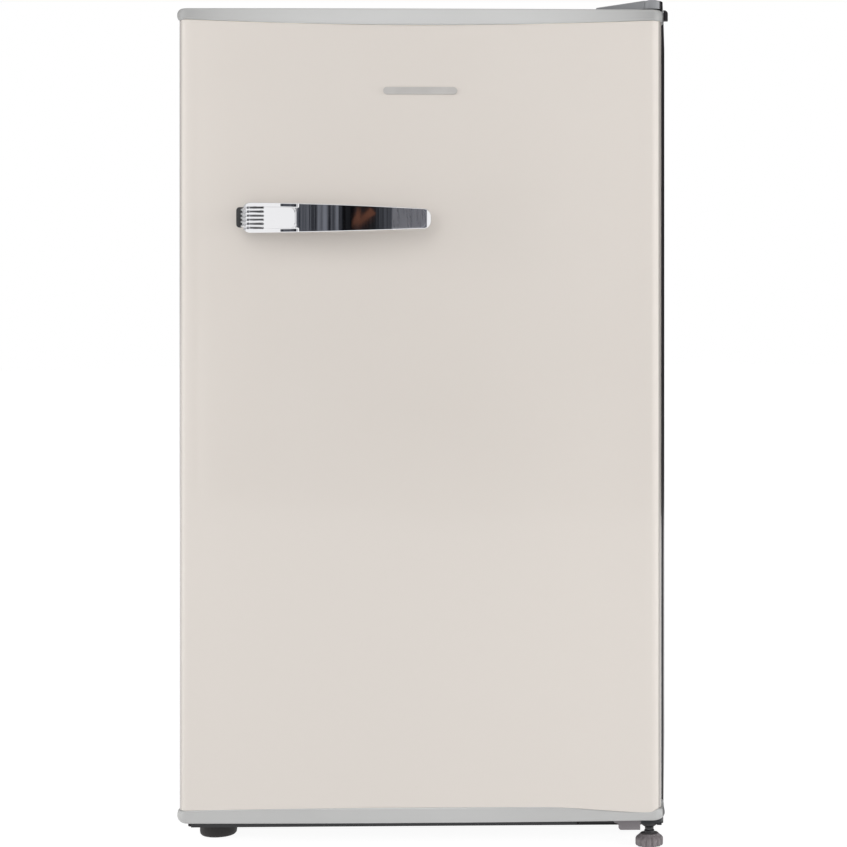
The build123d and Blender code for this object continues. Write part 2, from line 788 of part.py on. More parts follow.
with BuildPart() as door_liner:
    block((-liner_half, liner_half), liner_plate, (liner_low, liner_high))
    block((-dyke_half, dyke_half), (liner_plate[0], dyke_back_y), (dyke_low, dyke_high))
    fillet(door_liner.edges().filter_by(Axis.Z).group_by(Axis.Y)[-1], 6)
    dyke_inside(Mode.SUBTRACT)
    bin_recess(door_liner_wall, Mode.ADD)
    bin_recess(0, Mode.SUBTRACT)
save("door_liner", door_liner)

with BuildPart() as door_foam:
    extrude(
        door_plan(door_bottom, foam_half, cap_lip + door_sheet, bow, liner_plate[0]),
        amount=door_top - door_bottom,
    )
    add(panel_field.part, mode=Mode.INTERSECT)
    dyke_inside(Mode.ADD)
    bin_recess(door_liner_wall, Mode.SUBTRACT)
    rod(hinge_x, hinge_y, top_bush, bush_r, Mode.SUBTRACT)
    rod(hinge_x, hinge_y, bottom_bush, hollow_bush_r, Mode.SUBTRACT)
    add(door_liner.part, mode=Mode.SUBTRACT)
save("door_foam", door_foam)

gasket_low, gasket_high = 45, 780
gasket_steps = ((16, 0, 3.5), (9, 3.5, 7), (14, 7, seal_gap - 0.4))
with BuildPart() as door_gasket:
    for strip, near, far in gasket_steps:
        side_gap = (gasket_steps[0][0] - strip) / 2
        with BuildSketch(facing(door_back_y + near)) as ring:
            with Locations((0, (gasket_low + gasket_high) / 2)):
                ring_w = 2 * (liner_half - side_gap)
                ring_h = gasket_high - gasket_low - 2 * side_gap
                Rectangle(ring_w, ring_h)
                Rectangle(ring_w - 2 * strip, ring_h - 2 * strip, mode=Mode.SUBTRACT)
        extrude(ring.sketch, amount=near - far)
save("door_gasket", door_gasket)

for name, low, high in bins:
    with BuildPart() as door_bin:
        tub((-bin_half, bin_half), (pocket_y, bin_back_y), (low, high), 2.2, 9)
        block((-bin_half + 6, bin_half - 6), (bin_back_y, bin_back_y + 2), (high - 14, high - 4))
    save(f"door_bin_{name}", door_bin)

# ------------------------------------------------------------------ handle and badge
lever_mid = (handle_left + handle_right) / 2
lever_front_y = crown_y - handle_reach


def lever_band(front, back):
    """The lever's bowed thickness seen from above, between two offsets of its front face."""
    faces = []
    for depth in (front, back):
        faces.append(
            (
                (handle_left, lever_front_y + 20 + depth),
                (lever_mid, lever_front_y + depth),
                (handle_right, lever_front_y + 9 + depth),
            )
        )
    with BuildSketch(Plane.XY.offset(handle_z - 20)) as band:
        with BuildLine():
            ThreePointArc(*faces[0])
            Line(faces[0][2], faces[1][2])
            ThreePointArc(*faces[1])
            Line(faces[1][0], faces[0][0])
        make_face()
    return band.sketch


def lever_outline(left, right, inset, round_r):
    """The lever's tapered front outline between two stations, its long sides moved in."""
    with BuildSketch(facing(lever_front_y - 5)) as outline:
        with BuildLine():
            slope = (lever_tall - lever_slim) / (handle_right - handle_left)
            left_half = lever_tall - inset - slope * (left - handle_left)
            right_half = lever_tall - inset - slope * (right - handle_left)
            Polyline(
                (left, handle_z - left_half),
                (right, handle_z - right_half),
                (right, handle_z + right_half),
                (left, handle_z + left_half),
                close=True,
            )
        make_face()
        fillet(outline.vertices().group_by(Axis.X)[-1], round_r)
        fillet(outline.vertices().group_by(Axis.X)[0], 4)
    return outline.sketch


with BuildPart() as lever_pad:
    extrude(lever_band(-0.8, 1), amount=40)
    extrude(lever_outline(-147, -113, 3, 5), amount=-60, mode=Mode.INTERSECT)

with BuildPart() as handle_lever:
    extrude(lever_band(0, 9), amount=40)
    extrude(lever_outline(handle_left, handle_right, 0, 9), amount=-60, mode=Mode.INTERSECT)
    add(lever_pad.part)
save("handle_lever", handle_lever)

with BuildPart() as handle_insert:
    extrude(lever_band(-0.4, 0), amount=40)
    extrude(lever_outline(-18, 10.5, 2, 7), amount=-60, mode=Mode.INTERSECT)
save("handle_insert", handle_insert)

with BuildPart() as door_front:
    extrude(door_plan(door_bottom, panel_half, cap_lip, bow, door_back_y), amount=door_top - door_bottom)

with BuildPart() as handle_base:
    block(
        (handle_left - 7.2, handle_left + 14),
        (lever_front_y + 24, edge_y),
        (handle_z - 9.6, handle_z + 9.6),
    )
    fillet(handle_base.edges().filter_by(Axis.Z).group_by(Axis.X)[0].group_by(Axis.Y)[0], 5)
    add(handle_lever.part, mode=Mode.SUBTRACT)
    add(door_front.part, mode=Mode.SUBTRACT)
save("handle_base", handle_base)

with BuildPart() as handle_post:
    with BuildSketch(facing(lever_front_y + 12)):
        with Locations((handle_right - 16, handle_z)):
            SlotOverall(20, 13)
    extrude(amount=-45)
    add(handle_lever.part, mode=Mode.SUBTRACT)
    add(door_front.part, mode=Mode.SUBTRACT)
save("handle_post", handle_post)

with BuildPart() as door_badge:
    with BuildSketch(facing(crown_y + 1.2)):
        with Locations((2.5, 729)):
            SlotOverall(70, 7)
    extrude(amount=-6)
    add(door_front.part, mode=Mode.SUBTRACT)
save("door_badge", door_badge)
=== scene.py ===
import json
import math

import bpy
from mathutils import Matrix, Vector


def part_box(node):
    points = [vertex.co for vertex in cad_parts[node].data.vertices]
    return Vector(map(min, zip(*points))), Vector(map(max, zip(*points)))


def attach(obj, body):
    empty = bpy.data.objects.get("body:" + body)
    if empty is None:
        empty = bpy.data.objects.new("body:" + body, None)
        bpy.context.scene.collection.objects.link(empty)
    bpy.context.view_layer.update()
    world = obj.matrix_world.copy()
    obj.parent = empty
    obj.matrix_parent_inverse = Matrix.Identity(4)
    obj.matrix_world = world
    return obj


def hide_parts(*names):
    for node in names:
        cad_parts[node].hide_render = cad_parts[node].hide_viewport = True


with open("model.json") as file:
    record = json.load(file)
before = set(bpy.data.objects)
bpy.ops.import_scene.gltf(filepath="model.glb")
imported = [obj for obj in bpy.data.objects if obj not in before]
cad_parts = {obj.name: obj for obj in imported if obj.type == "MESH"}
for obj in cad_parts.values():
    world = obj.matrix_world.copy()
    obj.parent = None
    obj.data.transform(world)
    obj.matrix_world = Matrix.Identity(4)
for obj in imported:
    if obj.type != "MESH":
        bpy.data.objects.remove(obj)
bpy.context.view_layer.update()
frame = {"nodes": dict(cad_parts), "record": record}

MM = 0.001

# where painted shade starts, in metres: X of the shade on the door's edges, the trim's end, the
# cover's side and the bracket's end, Y of the bracket's back, and Z of the foot knob's neck
DOOR_SHADE_LEFT, DOOR_SHADE_RIGHT = -0.2276, 0.2286
TRIM_SHADE_X = 0.2328
COVER_SHADE_X = 0.2296
BRACKET_SHADE_X = 0.2115
BRACKET_SHADE_Y = -0.160
KNOB_SHADE_Z = 0.0127


# ------------------------------------------------------------------ materials
def linear(rgb):
    """sRGB values from 0 to 255 as linear colour."""
    out = []
    for value in rgb:
        v = value / 255
        out.append(v / 12.92 if v <= 0.04045 else ((v + 0.055) / 1.055) ** 2.4)
    return out


def node(tree, kind, **values):
    """Adds a node and sets its inputs and properties by name."""
    made = tree.nodes.new(kind)
    for key, value in values.items():
        name = key.replace("_", " ")
        if name in made.inputs:
            made.inputs[name].default_value = value
        else:
            setattr(made, key, value)
    return made


def noise(tree, coords, scale, detail=2.0, stretch=(1, 1, 1)):
    """A noise value in object space, stretched along the axes."""
    place = node(tree, "ShaderNodeMapping")
    place.inputs["Scale"].default_value = stretch
    tree.links.new(coords, place.inputs["Vector"])
    made = node(tree, "ShaderNodeTexNoise", Scale=scale, Detail=detail)
    tree.links.new(place.outputs["Vector"], made.inputs["Vector"])
    return made.outputs["Fac"]


def ranged(tree, value, low, high):
    """Maps a noise value, which keeps near a half, to a range."""
    made = node(tree, "ShaderNodeMapRange")
    for name, number in (("From Min", 0.3), ("From Max", 0.7), ("To Min", low), ("To Max", high)):
        made.inputs[name].default_value = number
    tree.links.new(value, made.inputs["Value"])
    return made.outputs["Result"]


def surface(
    name,
    rgb,
    rough=0.4,
    metal=0.0,
    vary=(6, 0.03),
    rough_vary=(30, 0.04),
    bump=(400, 0.05),
    stretch=(1, 1, 1),
    shader=(),
):
    """A procedural material: colour, roughness and height each follow their own noise."""
    material = bpy.data.materials.new(name)
    material.use_nodes = True
    tree = material.node_tree
    tree.nodes.clear()
    out = node(tree, "ShaderNodeOutputMaterial")
    body = node(tree, "ShaderNodeBsdfPrincipled", Metallic=metal)
    tree.links.new(body.outputs["BSDF"], out.inputs["Surface"])
    coords = node(tree, "ShaderNodeTexCoord").outputs["Object"]

    base = linear(rgb)
    mix = node(tree, "ShaderNodeMix", data_type="RGBA")
    for socket, share in ((6, 1 - vary[1]), (7, 1 + vary[1])):
        mix.inputs[socket].default_value = [min(1.0, c * share) for c in base] + [1]
    tree.links.new(ranged(tree, noise(tree, coords, vary[0]), 0, 1), mix.inputs["Factor"])
    tree.links.new(mix.outputs[2], body.inputs["Base Color"])

    grain = ranged(
        tree,
        noise(tree, coords, rough_vary[0], 3, stretch),
        max(0.02, rough - rough_vary[1]),
        rough + rough_vary[1],
    )
    tree.links.new(grain, body.inputs["Roughness"])

    if bump[1]:
        height = node(tree, "ShaderNodeBump", Strength=bump[1], Distance=0.0004)
        tree.links.new(noise(tree, coords, bump[0], 2, stretch), height.inputs["Height"])
        tree.links.new(height.outputs["Normal"], body.inputs["Normal"])
    for key, value in shader:
        body.inputs[key].default_value = value
    return material


CREAM = (217, 210, 203)
LOOKS = {
    "door_paint": dict(
        rgb=CREAM, rough=0.22, vary=(3, 0.006), rough_vary=(12, 0.03), bump=(520, 0.012),
        shader=(("Coat Weight", 0.35), ("Coat Roughness", 0.06)),
    ),
    "cabinet_paint": dict(
        rgb=(26, 22, 25), rough=0.34, vary=(4, 0.04), rough_vary=(20, 0.04), bump=(900, 0.05),
        shader=(("Specular IOR Level", 0.2),),
    ),
    "liner_plastic": dict(rgb=(236, 238, 239), rough=0.28, vary=(5, 0.01), bump=(60, 0.03)),
    "foam": dict(rgb=(225, 214, 168), rough=0.9, vary=(90, 0.10), bump=(300, 0.5)),
    "galvanised_steel": dict(
        rgb=(168, 171, 174), rough=0.42, metal=1.0, vary=(45, 0.12), rough_vary=(60, 0.12),
        bump=(140, 0.04),
    ),
    "black_steel": dict(rgb=(38, 38, 41), rough=0.38, vary=(30, 0.08), bump=(700, 0.12)),
    "bracket_steel": dict(
        rgb=(122, 117, 120), rough=0.42, metal=0.35, vary=(40, 0.08), bump=(500, 0.1)
    ),
    "bright_steel": dict(
        rgb=(196, 196, 200), rough=0.24, metal=1.0, vary=(80, 0.06), bump=(600, 0.08),
        stretch=(1, 1, 8),
    ),
    "worktop_plastic": dict(
        rgb=(30, 26, 29), rough=0.46, vary=(5, 0.04), bump=(1300, 0.22),
        shader=(("Specular IOR Level", 0.2),),
    ),
    "grey_plastic": dict(rgb=(140, 141, 144), rough=0.36, vary=(20, 0.03), bump=(1400, 0.12)),
    "black_rubber": dict(rgb=(31, 28, 27), rough=0.62, vary=(50, 0.15), bump=(500, 0.3)),
    "foot_plastic": dict(rgb=(118, 112, 114), rough=0.5, vary=(120, 0.12), bump=(900, 0.3)),
    "compressor_paint": dict(rgb=(30, 30, 32), rough=0.30, vary=(18, 0.10), bump=(160, 0.12)),
    "black_plastic": dict(rgb=(40, 40, 42), rough=0.45, vary=(30, 0.08), bump=(900, 0.2)),
    "clear_plastic": dict(
        rgb=(232, 234, 234), rough=0.25, vary=(20, 0.02), bump=(200, 0.05),
        shader=(("Transmission Weight", 0.55),),
    ),
    "copper": dict(rgb=(196, 122, 88), rough=0.30, metal=1.0, vary=(70, 0.16), bump=(260, 0.08)),
    "shelf_glass": dict(
        rgb=(236, 248, 244), rough=0.03, vary=(4, 0.01), rough_vary=(9, 0.01), bump=(8, 0.0),
        shader=(("Transmission Weight", 0.96), ("IOR", 1.46)),
    ),
    "rollbond_aluminium": dict(
        rgb=(206, 209, 212), rough=0.36, metal=0.9, vary=(25, 0.05), rough_vary=(50, 0.08),
        bump=(45, 0.15),
    ),
    "flap_plastic": dict(
        rgb=(222, 234, 240), rough=0.22, vary=(9, 0.02), bump=(120, 0.06),
        shader=(("Transmission Weight", 0.35),),
    ),
    "drawer_plastic": dict(
        rgb=(235, 242, 245), rough=0.10, vary=(6, 0.015), rough_vary=(15, 0.03), bump=(40, 0.03),
        shader=(("Transmission Weight", 0.82), ("IOR", 1.3)),
    ),
    "lamp_plastic": dict(
        rgb=(246, 246, 240), rough=0.45, vary=(30, 0.02), bump=(700, 0.2),
        shader=(("Transmission Weight", 0.2),),
    ),
    "knob_plastic": dict(rgb=(232, 233, 234), rough=0.26, vary=(10, 0.01), bump=(500, 0.05)),
    "silver_trim": dict(
        rgb=(205, 205, 204), rough=0.34, metal=0.18, vary=(14, 0.02), rough_vary=(900, 0.06),
        bump=(1500, 0.10), stretch=(0.08, 1, 1),
    ),
    "gasket_rubber": dict(rgb=(196, 195, 193), rough=0.6, vary=(12, 0.04), bump=(300, 0.2)),
    "handle_chrome": dict(
        rgb=(228, 228, 230), rough=0.035, metal=1.0, vary=(12, 0.02), rough_vary=(40, 0.015),
        bump=(60, 0.02),
    ),
    "handle_satin": dict(
        rgb=(146, 146, 152), rough=0.30, metal=0.8, vary=(30, 0.04), rough_vary=(700, 0.08),
        bump=(900, 0.08), stretch=(1, 1, 0.06),
    ),
    "badge_grey": dict(rgb=(184, 181, 178), rough=0.40, vary=(60, 0.05), bump=(900, 0.1)),
}
materials = {name: surface(name, **look) for name, look in LOOKS.items()}


def paint_shade_beyond(material, axis, edge, width, rgb):
    """Paints shade into a material by blending its colour to another past a station along one axis
    of object space.

    A negative width darkens the other side of the station.
    """
    tree = material.node_tree
    body = next(n for n in tree.nodes if n.type == "BSDF_PRINCIPLED")
    coords = next(n for n in tree.nodes if n.type == "TEX_COORD").outputs["Object"]
    split = node(tree, "ShaderNodeSeparateXYZ")
    tree.links.new(coords, split.inputs[0])
    share = node(tree, "ShaderNodeMapRange")
    for name, number in (("From Min", edge - width), ("From Max", edge + width)):
        share.inputs[name].default_value = number
    tree.links.new(split.outputs[axis], share.inputs["Value"])
    mix = node(tree, "ShaderNodeMix", data_type="RGBA")
    before = body.inputs["Base Color"].links[0].from_socket
    tree.links.new(share.outputs["Result"], mix.inputs["Factor"])
    tree.links.new(before, mix.inputs[6])
    mix.inputs[7].default_value = linear(rgb) + [1]
    tree.links.new(mix.outputs[2], body.inputs["Base Color"])


# painted shade: the bracket's front lip keeps its colour; its flange, its right end and the cover's
# right side are painted near-black as shade
X_AXIS, Y_AXIS, Z_AXIS = 0, 1, 2
paint_shade_beyond(materials["bracket_steel"], Y_AXIS, BRACKET_SHADE_Y, 2.0 * MM, (30, 28, 30))
paint_shade_beyond(materials["bracket_steel"], X_AXIS, BRACKET_SHADE_X, 0.6 * MM, (34, 36, 40))
paint_shade_beyond(materials["grey_plastic"], X_AXIS, COVER_SHADE_X, 0.5 * MM, (24, 21, 24))
# painted shade: the door's paint and the trim darken where they turn the corner, and the foot knob's
# neck is painted dark as shade
paint_shade_beyond(materials["door_paint"], X_AXIS, DOOR_SHADE_RIGHT, 0.4 * MM, (168, 162, 157))
paint_shade_beyond(materials["door_paint"], X_AXIS, DOOR_SHADE_LEFT, -0.5 * MM, (186, 180, 175))
paint_shade_beyond(materials["silver_trim"], X_AXIS, TRIM_SHADE_X, 0.8 * MM, (40, 40, 43))
paint_shade_beyond(materials["foot_plastic"], Z_AXIS, KNOB_SHADE_Z, 0.4 * MM, (46, 45, 47))


def shade_ends(material, low, high):
    """Paints shade into a colour, deeper with the square of the distance from the middle and more at
    the top.
    """
    tree = material.node_tree
    body = next(n for n in tree.nodes if n.type == "BSDF_PRINCIPLED")
    coords = next(n for n in tree.nodes if n.type == "TEX_COORD").outputs["Object"]
    split = node(tree, "ShaderNodeSeparateXYZ")
    tree.links.new(coords, split.inputs[0])
    square = node(tree, "ShaderNodeMath", operation="MULTIPLY")
    tree.links.new(split.outputs[0], square.inputs[0])
    tree.links.new(split.outputs[0], square.inputs[1])
    rate = node(tree, "ShaderNodeMapRange")
    for name, number in (("From Min", 0.3), ("From Max", 0.5), ("To Min", -low), ("To Max", -high)):
        rate.inputs[name].default_value = number
    tree.links.new(split.outputs[2], rate.inputs["Value"])
    share = node(tree, "ShaderNodeMath", operation="MULTIPLY_ADD")
    tree.links.new(square.outputs[0], share.inputs[0])
    tree.links.new(rate.outputs["Result"], share.inputs[1])
    share.inputs[2].default_value = 1.0
    scale = node(tree, "ShaderNodeVectorMath", operation="SCALE")
    tree.links.new(body.inputs["Base Color"].links[0].from_socket, scale.inputs[0])
    tree.links.new(share.outputs[0], scale.inputs["Scale"])
    tree.links.new(scale.outputs[0], body.inputs["Base Color"])


# painted shade on the end caps' trim towards its ends, more on the top cap
shade_ends(materials["silver_trim"], 4.5, 7.0)
slot_of = {part["node"]: part["material_slot"] for part in frame["record"]["subparts"]}

# edge rounding of the carried-over nodes, in millimetres
ROUNDED = {
    "worktop": 0.6, "hinge_cover": 0.6, "thermostat_housing": 0.8, "thermostat_knob": 0.5,
    "crisper_drawer": 0.8, "drip_tray": 0.7, "door_bin_lower": 0.8, "door_bin_middle": 0.8,
    "door_bin_upper": 0.8, "shelf_trims": 1.2, "ice_box_frame": 1.0, "inner_liner": 0.8,
    "door_liner": 1.6, "bottom_hinge_bracket": 0.4, "top_hinge_plate": 0.4, "base_plate": 0.3,
    "hinge_screws": 0.5, "compressor_bolts": 0.6, "compressor_terminal_cover": 1.2,
    "evaporation_tray": 0.6, "rear_feet": 0.5, "lamp_cover": 0.5,
}
for name, cad in frame["nodes"].items():
    cad.data.materials.clear()
    cad.data.materials.append(materials[slot_of[name]])
    if name in ROUNDED:
        bevel = cad.modifiers.new("edges", "BEVEL")
        bevel.width = ROUNDED[name] * MM
        bevel.segments = 2
        bevel.limit_method = "ANGLE"
        bevel.angle_limit = math.radians(40)
        bevel.harden_normals = True


# ------------------------------------------------------------------ mesh helpers
def piece(name, points, faces, slot, body, stands_for, smooth_angle=35):
    """A mesh that rides on a CAD body in place of CAD nodes."""
    mesh = bpy.data.meshes.new(name)
    mesh.from_pydata([tuple(p) for p in points], [], faces)
    mesh.validate()
    mesh.materials.append(materials[slot])
    made = bpy.data.objects.new(name, mesh)
    bpy.context.scene.collection.objects.link(made)
    mesh.shade_smooth()
    for edge in made.data.edges:
        edge.use_edge_sharp = False
    made.data.set_sharp_from_angle(angle=math.radians(smooth_angle))
    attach(made, body)
    if stands_for:
        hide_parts(*stands_for)
    return made


def rings(sections, closed_ends=True):
    """Points and faces of a skin over closed sections that have the same number of points."""
    count = len(sections[0])
    points = [p for section in sections for p in section]
    faces = []
    for row in range(len(sections) - 1):
        for k in range(count):
            a, b = row * count + k, row * count + (k + 1) % count
            faces.append((a, b, b + count, a + count))
    if closed_ends:
        faces.append(tuple(reversed(range(count))))
        last = (len(sections) - 1) * count
        faces.append(tuple(range(last, last + count)))
    return points, faces


def turned_rings(x, y, profile, around=48, reach=lambda angle, r, z: r):
    """Sections of a turned shape; reach can change the radius with the angle, as for flutes."""
    sections = []
    for radius, z in profile:
        ring = []
        for k in range(around):
            angle = 2 * math.pi * k / around
            r = reach(angle, radius, z)
            ring.append((x + r * math.cos(angle), y + r * math.sin(angle), z))
        sections.append(ring)
    return sections


def rounded(profile, radius, steps=5):
    """Rounds the inner corners of a line of points."""
    out = [profile[0]]
    for before, here, after in zip(profile, profile[1:], profile[2:]):
        h = Vector(here)
        a, b = Vector(before) - h, Vector(after) - h
        cut = min(radius, a.length * 0.45, b.length * 0.45)
        start, end = h + a.normalized() * cut, h + b.normalized() * cut
        for k in range(steps + 1):
            t = k / steps
            out.append(tuple(start * (1 - t) ** 2 + h * (2 * t * (1 - t)) + end * t**2))
    out.append(profile[-1])
    return out


def through(x, p0, p1, p2):
    """Height of the circle through three (x, y) points at x, for a shallow arc."""
    (ax, ay), (bx, by), (cx, cy) = p0, p1, p2
    d = 2 * (ax * (by - cy) + bx * (cy - ay) + cx * (ay - by))
    sa, sb, sc = ax * ax + ay * ay, bx * bx + by * by, cx * cx + cy * cy
    ux = (sa * (by - cy) + sb * (cy - ay) + sc * (ay - by)) / d
    uy = (sa * (cx - bx) + sb * (ax - cx) + sc * (bx - ax)) / d
    r = math.hypot(ax - ux, ay - uy)
    side = -1 if by < uy else 1
    return uy + side * math.sqrt(max(0.0, r * r - (x - ux) ** 2))


def smooth(a, b, x):
    """0 before a, 1 after b, and a smooth step between."""
    t = min(1.0, max(0.0, (x - a) / (b - a)))
    return t * t * (3 - 2 * t)


# ------------------------------------------------------------------ door panel and end caps
top_lo, top_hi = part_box("door_top_cap")
low_lo, low_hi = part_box("door_bottom_cap")
panel_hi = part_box("door_panel")[1]
CAP_HALF = top_hi[0]
PANEL_HALF = panel_hi[0]
DOOR_BACK = panel_hi[1]
CROWN = top_lo[1]
# the bow of the door, the bow of the caps' outer faces, the caps' overhang and the corner radius
BOW, FLAT_BOW, LIP, CORNER = 20 * MM, 3 * MM, 2 * MM, 14 * MM
EDGE = CROWN + BOW
DOOR_LOW, DOOR_HIGH = low_lo[2], top_hi[2]
TOP_ENDS, TOP_MIDDLE = 10 * MM, top_hi[2] - top_lo[2]
LOW_ENDS, LOW_MIDDLE = 12 * MM, low_hi[2] - low_lo[2]


def plan_path(half, inset, sagitta, back, bow_steps=72, corner_steps=10):
    """The bowed outline from the back right, round the front, to the back left."""
    side = EDGE + inset
    radius = CORNER - inset

    def bow_y(x):
        return through(x, (-half, side), (0, side - sagitta), (half, side))

    reach = half - radius
    start = Vector((reach, bow_y(reach)))
    right = []
    slope = math.atan2(bow_y(reach) - bow_y(reach - MM), MM)
    sweep = math.pi / 2 - slope
    centre = start + Vector((-math.sin(slope), math.cos(slope))) * radius
    for k in range(corner_steps + 1):
        angle = slope - math.pi / 2 + sweep * (1 - k / corner_steps)
        right.append((centre.x + radius * math.cos(angle), centre.y + radius * math.sin(angle)))
    scale = half / right[0][0]
    right = [(x * scale, y) for x, y in right]
    right = [(half, back), (half, (back + right[0][1]) / 2)] + right
    edge_x = right[-1][0]
    middle = []
    for k in range(1, bow_steps):
        x = edge_x * (1 - 2 * k / bow_steps)
        middle.append((x, bow_y(x)))
    return right + middle + [(-x, y) for x, y in reversed(right)]


def top_seam(x):
    end = DOOR_HIGH - TOP_ENDS
    return through(x, (-CAP_HALF, end), (0, DOOR_HIGH - TOP_MIDDLE), (CAP_HALF, end))


def low_seam(x):
    end = DOOR_LOW + LOW_ENDS
    return through(x, (-CAP_HALF, end), (0, DOOR_LOW + LOW_MIDDLE), (CAP_HALF, end))


# how far each seam dips or rises again, and between which places across the door
LOW_DIP, LOW_DIP_SPAN = 4.6 * MM, (0.120, 0.219)
LOW_RISE, LOW_RISE_SPAN = 3.6 * MM, (0.2195, 0.2308)
TOP_DIP, TOP_DIP_SPAN = 1.0 * MM, (0.224, 0.231)


def low_dip(x):
    """The bottom seam dips towards the door's right corner and rises again round it."""
    return LOW_DIP * smooth(*LOW_DIP_SPAN, x) - LOW_RISE * smooth(*LOW_RISE_SPAN, x)


def top_dip(x):
    """The top seam dips a little at both ends."""
    return TOP_DIP * smooth(*TOP_DIP_SPAN, abs(x))


TUCK = 1.2 * MM
LOW_GAP, TOP_GAP = 0.05 * MM, 0.25 * MM
ROWS = 24
outer = plan_path(PANEL_HALF, LIP, BOW, DOOR_BACK)
tucked = plan_path(PANEL_HALF - TUCK, LIP + TUCK, BOW, DOOR_BACK)
panel_points, panel_faces = [], []
rows = [(outer, k / ROWS) for k in range(ROWS + 1)]
for path, t in [(tucked, 0.0)] + rows + [(tucked, 1.0)]:
    for x, y in path:
        low = low_seam(x) - low_dip(x) + LOW_GAP
        high = top_seam(x) - top_dip(x) - TOP_GAP
        panel_points.append((x, y, low + (high - low) * t))
COUNT = len(outer)
for row in range(ROWS + 2):
    for k in range(COUNT - 1):
        a = row * COUNT + k
        panel_faces.append((a, a + 1, a + 1 + COUNT, a + COUNT))
RETURN = 16 * MM
for side in (0, COUNT - 1):
    flange = []
    for row in range(1, ROWS + 2):
        x, y, z = panel_points[row * COUNT + side]
        flange.append(len(panel_points))
        panel_points.append((x - math.copysign(RETURN, x), y, z))
    for row in range(ROWS):
        a, b = (row + 1) * COUNT + side, (row + 2) * COUNT + side
        quad = (a, b, flange[row + 1], flange[row])
        panel_faces.append(quad if side == 0 else tuple(reversed(quad)))
piece("door_panel_skin", panel_points, panel_faces, "door_paint", "door", ["door_panel"], 50)


# across a cap's bevelled seam, in millimetres: the way from the seam and the way in from the front
SEAM_STEPS = ((0.0, 3.6), (0.0, 1.0), (0.5, 0.5), (1.0, 0.05), (1.2, 0.15), (1.5, 0.3))
SEAM_BEVEL, CAP_INSET, CAP_EDGE = 1.5 * MM, 0.3 * MM, 1.6 * MM
CAP_ROWS, CAP_EDGE_STEPS = 15, 6
# how far a cap's end rounds on its outer side and on its seam's side
OUTER_ROUND, SEAM_ROUND = 4.6 * MM, 2.4 * MM
# where across the door the rounding starts, the inset ends and the longer right end starts
ROUND_SPAN, INSET_SPAN, REACH_SPAN = (0.219, 0.2325), (0.222, 0.2333), (0.215, 0.2337)
# where behind the door's front edge the longer right end fades out
REACH_FADE = (EDGE + 8 * MM, EDGE + 22 * MM)


def cap_sections(seam, dip, outer_z, seam_mid, direction, right_reach):
    """An end cap from its seam to its outer face, with half-round ends; direction is +1 upwards.

    Each section is a kind of station, an amount along it and how far it stands in from the front.
    """
    depth = abs(outer_z - seam_mid)
    full = plan_path(CAP_HALF, 0, BOW, DOOR_BACK)
    flat = plan_path(CAP_HALF, 0, FLAT_BOW, DOOR_BACK)
    sections = [("seam", along * MM, inward * MM) for along, inward in SEAM_STEPS]
    for k in range(1, CAP_ROWS):
        sections.append(("share", k / CAP_ROWS, CAP_INSET))
    for k in range(CAP_EDGE_STEPS + 1):
        turn = k / CAP_EDGE_STEPS * math.pi / 2
        inward = CAP_INSET + CAP_EDGE * (1 - math.cos(turn))
        sections.append(("edge", CAP_EDGE * (1 - math.sin(turn)), inward))
    out = []
    for kind, amount, inward in sections:
        ring = []
        for (fx, fy), (_, gy) in zip(full, flat):
            seam_z = seam(fx) - dip(fx)
            near = seam_z + direction * SEAM_BEVEL
            if kind == "seam":
                z = seam_z + direction * amount
            elif kind == "share":
                z = near + (outer_z - direction * CAP_EDGE - near) * amount
            else:
                z = outer_z - direction * amount
            lean = min(1.0, max(0.0, 1 - abs(outer_z - z) / depth))
            y = fy + (gy - fy) * lean
            t = min(1.0, max(-1.0, 2 * (z - seam_z) / (outer_z - seam_z) - 1))
            end_round = OUTER_ROUND if t > 0 else SEAM_ROUND
            rounding = end_round * (1 - math.sqrt(1 - t * t))
            pull_x = rounding * smooth(*ROUND_SPAN, abs(fx))
            pull_y = inward * (1 - smooth(*INSET_SPAN, abs(fx)))
            if y > DOOR_BACK - MM:
                pull_y = 0
            widen = right_reach * smooth(*REACH_SPAN, fx)
            widen *= 1 - smooth(*REACH_FADE, y)
            ring.append((fx + widen - math.copysign(pull_x, fx), y + pull_y, z))
        out.append(ring)
    return out


def cap_mesh(name, seam, dip, outer_z, seam_mid, direction, right_reach, stands_for):
    sections = cap_sections(seam, dip, outer_z, seam_mid, direction, right_reach)
    if direction < 0:
        sections = sections[::-1]
    points, faces = rings(sections)
    piece(name, points, faces, "silver_trim", "door", [stands_for], 32)


TOP_SEAM_MID, LOW_SEAM_MID = DOOR_HIGH - TOP_MIDDLE, DOOR_LOW + LOW_MIDDLE
LOW_REACH = 1.2 * MM
cap_mesh(
    "door_cap_top_trim", top_seam, top_dip, DOOR_HIGH, TOP_SEAM_MID, 1, 0.0, "door_top_cap"
)
cap_mesh(
    "door_cap_bottom_trim", low_seam, low_dip, DOOR_LOW, LOW_SEAM_MID, -1, LOW_REACH,
    "door_bottom_cap",
)

# ------------------------------------------------------------------ handle
lever_lo, lever_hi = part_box("handle_lever")
base_lo, base_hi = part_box("handle_base")
LEFT, RIGHT = lever_lo[0], lever_hi[0]
MIDDLE = (LEFT + RIGHT) / 2
HANDLE_Z = (base_lo[2] + base_hi[2]) / 2
HANDLE_REACH = 36 * MM
FRONT = CROWN - HANDLE_REACH
WRAP = LEFT - 6.6 * MM
BASE_HALF = base_hi[2] - HANDLE_Z
GROOVES = [k * 3.8 * MM for k in (-2.5, -1.5, -0.5, 0.5, 1.5, 2.5)]
PAD_RIGHT, RAIL_RIGHT, GROOVE_RIGHT = -109.5 * MM, -124.5 * MM, -140.4 * MM
STEP_LEFT = -19.6 * MM
# how far the lever's ends stand back from its middle, and the start and depth of the left curl
LEFT_SWEEP, RIGHT_SWEEP = 20 * MM, 9 * MM
CURL_START, CURL_DEEP = LEFT + 5 * MM, 14 * MM
